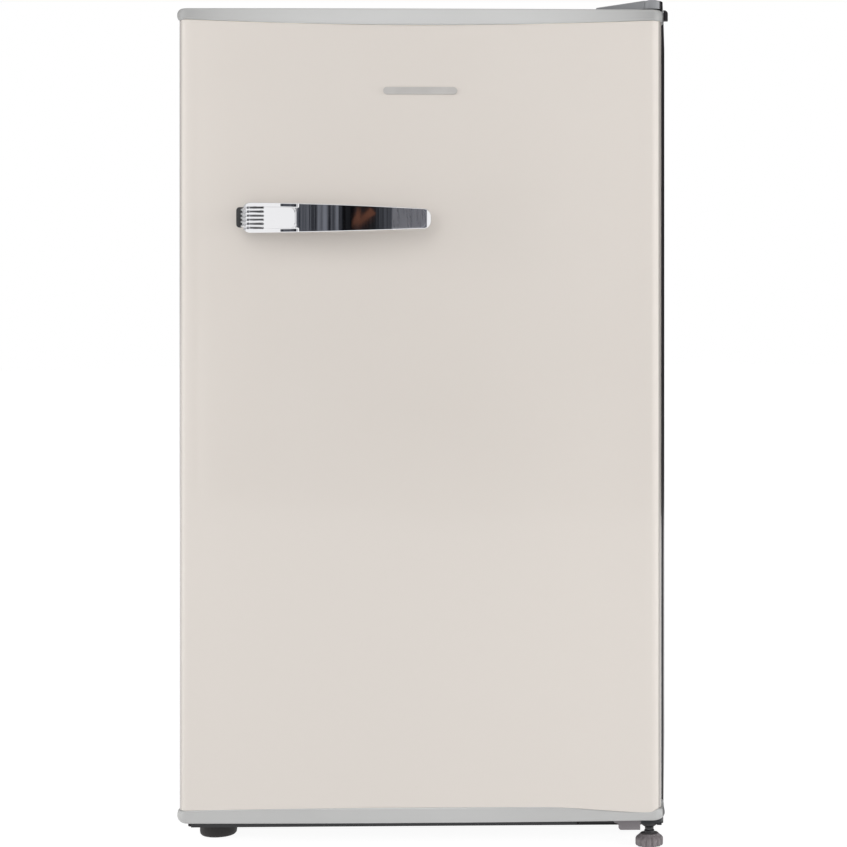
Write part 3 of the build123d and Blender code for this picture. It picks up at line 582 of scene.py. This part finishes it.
# half the lever's height in millimetres: at the left, its taper and its swell in the middle
HALF_LEFT, HALF_TAPER, HALF_SWELL = 14.5, 5.2, 0.9
END_ROUND_RIGHT, END_ROUND_LEFT = 6 * MM, 8 * MM
# the middle line's drop in millimetres at the left, and how much more it drops to the right
MID_DROP, MID_FALL = 0.4, 1.0


def lever_front(x):
    """The lever's front face seen from above; its left end curls back to the door."""
    left, right = (LEFT, FRONT + LEFT_SWEEP), (RIGHT, FRONT + RIGHT_SWEEP)
    y = through(max(x, LEFT), left, (MIDDLE, FRONT), right)
    if x < CURL_START:
        t = min(1.0, (CURL_START - x) / (CURL_START - WRAP))
        y += CURL_DEEP * (1 - math.sqrt(max(0.0, 1 - t * t)))
    return y


def lever_mid(x):
    """Height of the lever's middle line, which runs down a little to the right."""
    t = min(1, max(0, (x - LEFT) / (RIGHT - LEFT)))
    return HANDLE_Z - (MID_DROP + MID_FALL * t) * MM


def lever_half(x):
    """Half the lever's height at x, with its ends rounded."""
    t = min(1, max(0, (x - LEFT) / (RIGHT - LEFT)))
    half = (HALF_LEFT - HALF_TAPER * t + HALF_SWELL * math.sin(math.pi * t)) * MM
    if x > RIGHT - END_ROUND_RIGHT:
        d = (x - (RIGHT - END_ROUND_RIGHT)) / END_ROUND_RIGHT
        half = half - END_ROUND_RIGHT + END_ROUND_RIGHT * math.sqrt(max(0.0004, 1 - d * d))
    if x < LEFT + END_ROUND_LEFT:
        d = min(1.0, (LEFT + END_ROUND_LEFT - x) / END_ROUND_LEFT)
        half = BASE_HALF + (half - BASE_HALF) * math.sqrt(max(0.0, 1 - d * d))
    return half


# the long edges' rounding
RIM_WIDE, RIM_DEEP = 0.8 * MM, 0.9 * MM
# the raised pad: its distance from the long edges, its corners and flank, and its rise, which
# grows to the right from the height that it has at one place
PAD_MARGIN, PAD_CORNER, PAD_FLANK = 4.3 * MM, 4.5 * MM, (-0.9 * MM, 0.3 * MM)
PAD_RISE, PAD_SLOPE, PAD_RISE_X = 0.75 * MM, 0.03, -0.150
PAD_RUN_IN = (WRAP, WRAP + 4 * MM)
# the flats beside the pad: where they start and end, their flank and how steeply they fall
FLAT_START = (RAIL_RIGHT - 0.3 * MM, RAIL_RIGHT + 0.3 * MM)
FLAT_END = (PAD_RIGHT + 0.9 * MM, PAD_RIGHT + 2.1 * MM)
FLAT_FLANK, FLAT_SLOPE = 0.8 * MM, 0.07
# the right end: where it starts to fall and how steeply
TIP_START, TIP_SLOPE = RIGHT - 3.4 * MM, 0.40
# the grooves: half widths of floor and mouth, depths, and where they get deep and run out
GROOVE_FLOOR, GROOVE_MOUTH = 0.45 * MM, 1.15 * MM
GROOVE_DEEP, GROOVE_SHALLOW, GROOVE_DEEP_X = 3.4 * MM, 1.6 * MM, LEFT + 4 * MM
GROOVE_RUN_OUT = (GROOVE_RIGHT - 1.2 * MM, GROOVE_RIGHT)


def lever_relief(x, z, half):
    """How far the front stands back from its smooth face at a point."""
    back = 0.0
    narrow = max(0.0, 1 - (half - abs(z)) / RIM_WIDE)
    back += RIM_DEEP * narrow**2

    pad_half = half - PAD_MARGIN
    dx = max(0.0, x - (PAD_RIGHT - PAD_CORNER))
    dz = max(0.0, abs(z) - (pad_half - PAD_CORNER))
    inside = PAD_CORNER - math.hypot(dx, dz)
    raised = smooth(*PAD_FLANK, inside) * smooth(*PAD_RUN_IN, x)
    back -= (PAD_RISE + PAD_SLOPE * (x - PAD_RISE_X)) * raised

    away = smooth(*FLAT_START, x) * (1 - smooth(*FLAT_END, x))
    flats = smooth(pad_half, pad_half + FLAT_FLANK, abs(z))
    back += FLAT_SLOPE * (x - RAIL_RIGHT) * away * flats

    back += TIP_SLOPE * max(0.0, x - TIP_START)

    for centre in GROOVES:
        d = abs(z - centre)
        if d < GROOVE_MOUTH:
            depth = GROOVE_DEEP if x > GROOVE_DEEP_X else GROOVE_SHALLOW
            run = 1 - smooth(*GROOVE_RUN_OUT, x)
            back += depth * (1 - smooth(GROOVE_FLOOR, GROOVE_MOUTH, d)) * run
    return back


# points across the lever's back, as shares of its half height and drops in millimetres
BACK_CURVE = (
    (1.0, 2.0), (0.93, 0.6), (0.8, 0.0), (0.0, 0.0), (-0.8, 0.0), (-0.93, 0.6), (-1.0, 2.0),
)


LEVER_THICK = 9 * MM
# the left end reaches back to its seat on the door as far as this place
SEATED_TO = LEFT + 13 * MM
# points up the front, and the distance between sections where the lever has detail and elsewhere
UP_FRONT, FINE_STEP, COARSE_STEP = 132, 0.35 * MM, 1.2 * MM


def lever_stations():
    """Places along the lever, close together at its ends, its grooves and its pad's edge."""
    stations = []
    x = WRAP
    while x < RIGHT - 0.05 * MM:
        stations.append(x)
        detailed = x < -138 * MM or x > RIGHT - 8 * MM
        detailed = detailed or PAD_RIGHT - 6 * MM < x < PAD_RIGHT + 2 * MM
        detailed = detailed or abs(x - RAIL_RIGHT) < MM or abs(x - STEP_LEFT) < MM
        x += FINE_STEP if detailed else COARSE_STEP
    return stations + [RIGHT]


def lever_sections():
    """The lever's outline at each station: up its front, then down its back."""
    sections = []
    seat = FRONT + HANDLE_REACH - 0.5 * MM
    for x in lever_stations():
        half = lever_half(x)
        front = lever_front(x)
        back = front + LEVER_THICK
        if x < SEATED_TO:
            back = max(back, seat)
        ring = []
        for k in range(UP_FRONT + 1):
            z = -half + 2 * half * k / UP_FRONT
            ring.append((x, min(front + lever_relief(x, z, half), back - 2 * MM), lever_mid(x) + z))
        for share, drop in BACK_CURVE:
            ring.append((x, back - drop * MM, lever_mid(x) + half * share))
        sections.append(ring)
    return sections


points, faces = rings(lever_sections())
piece("handle_lever_chrome", points, faces, "handle_chrome", "door", ["handle_lever"], 60)

# black strips painted as shade in the grooves: their half width, thickness and height over the
# smooth face
STRIP_HALF, STRIP_THICK, STRIP_RAISED = 0.62 * MM, 0.8 * MM, 0.35 * MM
for number, centre in enumerate(GROOVES):
    strip = []
    x = LEFT + 6.5 * MM
    while x < GROOVE_RIGHT - 0.6 * MM:
        y = lever_front(x) - STRIP_RAISED
        taper = min(1.0, (GROOVE_RIGHT - x) / (3 * MM), (x - LEFT - 6 * MM) / MM)
        wide = STRIP_HALF * max(0.15, taper)
        low, high, back = lever_mid(x) + centre - wide, lever_mid(x) + centre + wide, y + STRIP_THICK
        strip.append([(x, y, low), (x, y, high), (x, back, high), (x, back, low)])
        x += 1.0 * MM
    points, faces = rings(strip)
    piece(f"handle_groove_shade_{number + 1}", points, faces, "black_plastic", "door", [], 40)

# the satin plate on the lever's right part: its right end, its steps along and up, its margin to
# the long edges and its end's rounding, its height over the lever, and its rim's rounding
INSERT_RIGHT = 11.4 * MM
INSERT_ALONG, INSERT_UP = 60, 24
INSERT_MARGIN, INSERT_ROUND = 1.0 * MM, 5 * MM
INSERT_RAISED, INSERT_THICK = 0.22 * MM, 0.7 * MM
INSERT_RIM_WIDE, INSERT_RIM_DEEP = 0.5 * MM, 0.15 * MM
insert_sections = []
for k in range(INSERT_ALONG + 1):
    x = STEP_LEFT + (INSERT_RIGHT - STEP_LEFT) * k / INSERT_ALONG
    full = lever_half(min(x, RIGHT - END_ROUND_RIGHT)) - INSERT_MARGIN
    if x > INSERT_RIGHT - INSERT_ROUND:
        d = (x - INSERT_RIGHT + INSERT_ROUND) / INSERT_ROUND
        full = full - INSERT_ROUND + INSERT_ROUND * math.sqrt(max(0.001, 1 - d * d))
    front = lever_front(x) - INSERT_RAISED
    ring = []
    for j in range(INSERT_UP + 1):
        z = full * (-1 + 2 * j / INSERT_UP)
        rim = 1 - smooth(0, INSERT_RIM_WIDE, full - abs(z))
        ring.append((x, front + INSERT_RIM_DEEP * rim, lever_mid(x) + z))
    ring.append((x, front + INSERT_THICK, lever_mid(x) + full))
    ring.append((x, front + INSERT_THICK, lever_mid(x) - full))
    insert_sections.append(ring)
points, faces = rings(insert_sections)
piece("handle_insert_plate", points, faces, "handle_satin", "door", ["handle_insert"], 40)

# the black base under the lever's left end
PLINTH_CORNER, PLINTH_EDGE, PLINTH_STEPS = 3 * MM, 0.6 * MM, 6
plinth = []
for y, inset in ((base_lo[1], PLINTH_EDGE), (base_lo[1] + PLINTH_EDGE, 0.0), (base_hi[1], 0.0)):
    ring = []
    for sx, sz in ((1, 1), (-1, 1), (-1, -1), (1, -1)):
        cx = (base_hi[0] if sx > 0 else base_lo[0]) - sx * (PLINTH_CORNER + inset)
        cz = HANDLE_Z + sz * (BASE_HALF - PLINTH_CORNER - inset)
        for k in range(PLINTH_STEPS + 1):
            angle = math.atan2(sz, sx) + (k / PLINTH_STEPS - 0.5) * math.pi / 2
            x, z = cx + PLINTH_CORNER * math.cos(angle), cz + PLINTH_CORNER * math.sin(angle)
            ring.append((x, y, z))
    plinth.append(ring)
points, faces = rings(plinth)
piece("handle_plinth", points, faces, "black_plastic", "door", ["handle_base"], 40)

# ------------------------------------------------------------------ front glide
glide_lo, glide_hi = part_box("front_left_foot")
GLIDE_X, GLIDE_Y = (glide_lo[0] + glide_hi[0]) / 2, (glide_lo[1] + glide_hi[1]) / 2
GLIDE_R = (glide_hi[0] - glide_lo[0]) / 2
glide_profile = rounded(
    [
        (0.2 * MM, 0), (GLIDE_R - 1.6 * MM, 0), (GLIDE_R - 0.3 * MM, 1.6 * MM),
        (GLIDE_R, 4 * MM), (GLIDE_R, glide_hi[2]), (0.2 * MM, glide_hi[2]),
    ],
    0.5 * MM,
)
points, faces = rings(turned_rings(GLIDE_X, GLIDE_Y, glide_profile, 72))
piece("front_glide", points, faces, "black_rubber", "cabinet", ["front_left_foot"], 40)

# ------------------------------------------------------------------ levelling foot
knob_lo, knob_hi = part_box("foot_knob")
KNOB_X, KNOB_Y = (knob_lo[0] + knob_hi[0]) / 2, (knob_lo[1] + knob_hi[1]) / 2
FLUTES = 14


def fluted(angle, radius, z):
    share = smooth(8.4 * MM, 10 * MM, radius)
    wave = abs(math.sin(angle * FLUTES / 2))
    return radius * (1 - 0.105 * share * (1 - wave) ** 1.6)


knob_profile = rounded(
    [
        (0.2, 0), (8, 0), (8.5, 0.9), (12.9, 1.2), (13.6, 2.4), (13.6, 7.4), (12.9, 8.8),
        (9.4, 11.6), (8.8, 12.5), (5.0, 12.8), (4.8, 15.6), (3.3, 15.6),
    ],
    0.6,
)
knob_profile = [(r * MM, z * MM) for r, z in knob_profile]
points, faces = rings(turned_rings(KNOB_X, KNOB_Y, knob_profile, 168, fluted))
piece("foot_knob_fluted", points, faces, "foot_plastic", "foot_wheel", ["foot_knob"], 40)

nut_profile = rounded(
    [(3.1, 16.2), (4.3, 16.2), (4.3, 18.6), (7.3, 20.6), (7.5, 22.4), (7.5, 24.5), (3.1, 24.5)],
    0.5,
)
points, faces = rings(turned_rings(KNOB_X, KNOB_Y, [(r * MM, z * MM) for r, z in nut_profile], 48))
piece("foot_nut_cone", points, faces, "black_steel", "cabinet", ["foot_nut"], 40)

# ------------------------------------------------------------------ compressor
comp_lo, comp_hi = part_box("compressor")
COMP_X, COMP_Y = (comp_lo[0] + comp_hi[0]) / 2, (comp_lo[1] + comp_hi[1]) / 2
shell = rounded(
    [
        (0.5, 34), (38, 34), (50, 42), (55, 56), (56, 103.4), (59, 104), (59, 108),
        (56, 108.6), (54.4, 150), (46, 170), (28, 179), (0.5, 182.6),
    ],
    9,
    7,
)
points, faces = rings(turned_rings(COMP_X, COMP_Y, [(r * MM, z * MM) for r, z in shell], 96))
piece("compressor_shell", points, faces, "compressor_paint", "cabinet", ["compressor"], 40)

PLATE_LOW, PLATE_HIGH, PLATE_ROUND, PLATE_SHRINK = 31 * MM, 36 * MM, 0.6 * MM, 0.985
# the plate's half sizes between its arms and what the arms add, in millimetres
PLATE_X, PLATE_Y, ARM_X, ARM_Y = 60, 46, 26, 12
PLATE_AROUND, PLATE_POWER, ARM_POWER = 96, 0.55, 1.5


def signed_power(value):
    """A power of a sine or cosine that keeps its sign; below 1 it squares the outline."""
    return math.copysign(abs(value) ** PLATE_POWER, value)


def plate_outline(shrink):
    """A waisted mounting plate with four rounded arms."""
    ring = []
    for k in range(PLATE_AROUND):
        angle = 2 * math.pi * k / PLATE_AROUND
        arm = abs(math.sin(2 * angle)) ** ARM_POWER
        x = (PLATE_X + ARM_X * arm) * MM * signed_power(math.cos(angle))
        y = (PLATE_Y + ARM_Y * arm) * MM * signed_power(math.sin(angle))
        ring.append((COMP_X + x * shrink, COMP_Y + y * shrink))
    return ring


plate = []
for z, shrink in (
    (PLATE_LOW, PLATE_SHRINK),
    (PLATE_LOW + PLATE_ROUND, 1.0),
    (PLATE_HIGH - PLATE_ROUND, 1.0),
    (PLATE_HIGH, PLATE_SHRINK),
):
    plate.append([(x, y, z) for x, y in plate_outline(shrink)])
points, faces = rings(plate)
piece("compressor_mounting_plate", points, faces, "black_steel", "cabinet", [], 40)

# ------------------------------------------------------------------ studio
sky = bpy.data.worlds.new("studio")
bpy.context.scene.world = sky
sky.use_nodes = True
sky.node_tree.nodes["Background"].inputs["Color"].default_value = (1, 1, 1, 1)
sky.node_tree.nodes["Background"].inputs["Strength"].default_value = 0.52


def flat_material(name, rgb, strength=None):
    """A plain diffuse or glowing material for the studio."""
    material = bpy.data.materials.new(name)
    material.use_nodes = True
    tree = material.node_tree
    tree.nodes.clear()
    out = node(tree, "ShaderNodeOutputMaterial")
    if strength is None:
        body = node(tree, "ShaderNodeBsdfDiffuse", Color=(*rgb, 1))
        tree.links.new(body.outputs[0], out.inputs["Surface"])
    else:
        glow = node(tree, "ShaderNodeEmission", Color=(*rgb, 1), Strength=strength)
        tree.links.new(glow.outputs[0], out.inputs["Surface"])
    return material


def floor_material():
    """A pale sweep that the camera sees as even white; it still takes a faint contact shadow."""
    material = bpy.data.materials.new("floor_white")
    material.use_nodes = True
    tree = material.node_tree
    tree.nodes.clear()
    out = node(tree, "ShaderNodeOutputMaterial")
    body = node(tree, "ShaderNodeBsdfDiffuse", Color=(0.22, 0.22, 0.22, 1))
    glow = node(tree, "ShaderNodeEmission", Color=(1, 1, 1, 1), Strength=0.93)
    both = node(tree, "ShaderNodeAddShader")
    tree.links.new(body.outputs[0], both.inputs[0])
    tree.links.new(glow.outputs[0], both.inputs[1])
    tree.links.new(both.outputs[0], out.inputs["Surface"])
    return material


def streaks():
    """A dark card with upright blue-grey streaks on its left part, as a studio shows in chrome."""
    material = bpy.data.materials.new("studio_streaks")
    material.use_nodes = True
    tree = material.node_tree
    tree.nodes.clear()
    out = node(tree, "ShaderNodeOutputMaterial")
    coords = node(tree, "ShaderNodeTexCoord").outputs["Object"]
    bands = noise(tree, coords, 16, 3, (1, 1, 0.04))
    ramp = node(tree, "ShaderNodeValToRGB")
    ramp.color_ramp.elements[0].position = 0.36
    ramp.color_ramp.elements[0].color = (0.018, 0.019, 0.024, 1)
    ramp.color_ramp.elements[1].position = 0.68
    ramp.color_ramp.elements[1].color = (0.20, 0.21, 0.24, 1)
    tree.links.new(bands, ramp.inputs["Fac"])
    split = node(tree, "ShaderNodeSeparateXYZ")
    tree.links.new(coords, split.inputs[0])
    place = node(tree, "ShaderNodeMapRange")
    for name, number in (("From Min", -1.8), ("From Max", 0.4), ("To Min", 0.0), ("To Max", 1.0)):
        place.inputs[name].default_value = number
    tree.links.new(split.outputs[0], place.inputs["Value"])
    fade = node(tree, "ShaderNodeValToRGB")
    stops = fade.color_ramp.elements
    for x, level in ((-0.70, 1.0), (-0.62, 0.10), (-0.02, 0.10), (0.06, 0.55)):
        stop = stops.new((x + 1.8) / 2.2)
        stop.color = (level, level, level, 1)
    stops[0].color = (1, 1, 1, 1)
    stops[-1].color = (0.55, 0.55, 0.55, 1)
    tree.links.new(place.outputs["Result"], fade.inputs["Fac"])
    glow = node(tree, "ShaderNodeEmission")
    tree.links.new(ramp.outputs["Color"], glow.inputs["Color"])
    tree.links.new(fade.outputs["Color"], glow.inputs["Strength"])
    tree.links.new(glow.outputs[0], out.inputs["Surface"])
    return material


def card(name, corners, material):
    """A flat studio card."""
    mesh = bpy.data.meshes.new(name)
    mesh.from_pydata(corners, [], [(0, 1, 2, 3)])
    mesh.materials.append(material)
    made = bpy.data.objects.new(name, mesh)
    bpy.context.scene.collection.objects.link(made)
    return made


def reflection_card(name, start, end, low, high, material):
    """An upright card that shows only in polished surfaces, from one (x, y) to another."""
    made = card(
        name,
        [(*start, low), (*end, low), (*end, high), (*start, high)],
        material,
    )
    made.visible_camera = False
    made.visible_diffuse = False
    made.visible_shadow = False
    made.visible_transmission = False


floor = card("floor", [(-14, -14, 0), (14, -14, 0), (14, 14, 0), (-14, 14, 0)], floor_material())
floor.visible_diffuse = False

black = flat_material("flag_black", (0.004, 0.004, 0.005), 1.0)
grey = flat_material("studio_grey", (0.15, 0.155, 0.18), 1.0)
brown = flat_material("studio_brown", (0.13, 0.055, 0.035), 1.0)
soft = flat_material("softbox", (1.0, 1.0, 1.0), 1.08)
# what the polished handle mirrors: black flags, a streaked front, softboxes and a warm patch
reflection_card("flag_right", (0.2342, 2.6), (3.2, 1.2), -0.2, 2.4, black)
reflection_card("flag_left", (-2.4, 2.6), (-0.62, 2.6), -0.2, 2.4, black)
reflection_card("studio_front", (-1.72, -2.9), (0.36, -2.9), -0.3, 1.9, streaks())
reflection_card("studio_front_right", (0.36, -2.9), (2.0, -2.7), -0.3, 1.9, grey)
reflection_card("softbox_left", (-3.0, -0.9), (-1.85, -2.9), -0.2, 2.6, soft)
reflection_card("softbox_right", (2.3, -0.9), (2.0, -2.2), -0.2, 2.4, soft)
for number, corners in enumerate(
    (
        ((-0.46, 0.640), (-0.30, 0.636), (0.04, 0.664), (-0.08, 0.676)),
        ((-0.46, 0.640), (-0.36, 0.637), (-0.25, 0.670), (-0.33, 0.674)),
    )
):
    warm = card(f"studio_warm_{number}", [(x, -2.88, z) for x, z in corners], brown)
    warm.visible_camera = warm.visible_diffuse = warm.visible_shadow = False

overhead = card(
    "softbox_overhead",
    [(-2.5, -3.4, 3.0), (2.5, -3.4, 3.0), (2.5, 0.2, 3.0), (-2.5, 0.2, 3.0)],
    soft,
)
overhead.visible_camera = overhead.visible_diffuse = overhead.visible_shadow = False

# a white cyclorama that only the camera sees
RADIUS, AROUND = 9, 64
turns = [2 * math.pi * k / AROUND for k in range(AROUND)]
ring = [(RADIUS * math.cos(turn), RADIUS * math.sin(turn)) for turn in turns]
mesh = bpy.data.meshes.new("backdrop")
mesh.from_pydata(
    [(x, y, -2) for x, y in ring] + [(x, y, 12) for x, y in ring],
    [],
    [(k, (k + 1) % AROUND, (k + 1) % AROUND + AROUND, k + AROUND) for k in range(AROUND)],
)
mesh.materials.append(flat_material("backdrop_white", (1, 1, 1), 1.0))
backdrop = bpy.data.objects.new("backdrop", mesh)
bpy.context.scene.collection.objects.link(backdrop)
backdrop.visible_diffuse = backdrop.visible_glossy = backdrop.visible_shadow = False
backdrop.visible_transmission = True


def area_light(name, place, aim, size, power):
    lamp = bpy.data.lights.new(name, "AREA")
    lamp.shape = "RECTANGLE"
    lamp.size, lamp.size_y = size
    lamp.energy = power
    made = bpy.data.objects.new(name, lamp)
    made.location = place
    made.rotation_euler = (Vector(aim) - Vector(place)).to_track_quat("-Z", "Y").to_euler()
    bpy.context.scene.collection.objects.link(made)
    made.visible_glossy = False


area_light("key_top", (-0.15, -3.0, 2.0), (0, -0.2, 0.40), (2.2, 1.6), 20)
area_light("key_front", (-0.15, -3.1, 0.65), (0, -0.2, 0.40), (2.4, 1.2), 15)
area_light("fill_left", (-2.3, -0.8, 0.5), (-0.2, -0.2, 0.3), (0.8, 2.0), 26)
area_light("fill_right", (2.3, -0.9, 0.5), (0.2, -0.2, 0.3), (0.8, 2.0), 31)

# ------------------------------------------------------------------ camera
SENSOR = 36
FOCAL_SHARE = 2139.2 / 847
TURN_RIGHT = 0.0256
camera = bpy.data.cameras.new("camera")
camera.sensor_width = SENSOR
camera.lens = SENSOR * FOCAL_SHARE
camera.shift_x = -0.356
camera.shift_y = -0.1976
camera.clip_start = 0.05
eye = bpy.data.objects.new("camera", camera)
eye.location = (0.2399, -2.244, 0.5718)
eye.rotation_euler = (math.pi / 2, 0, -TURN_RIGHT)
bpy.context.scene.collection.objects.link(eye)
bpy.context.scene.camera = eye
bpy.context.scene.view_settings.view_transform = "Standard"
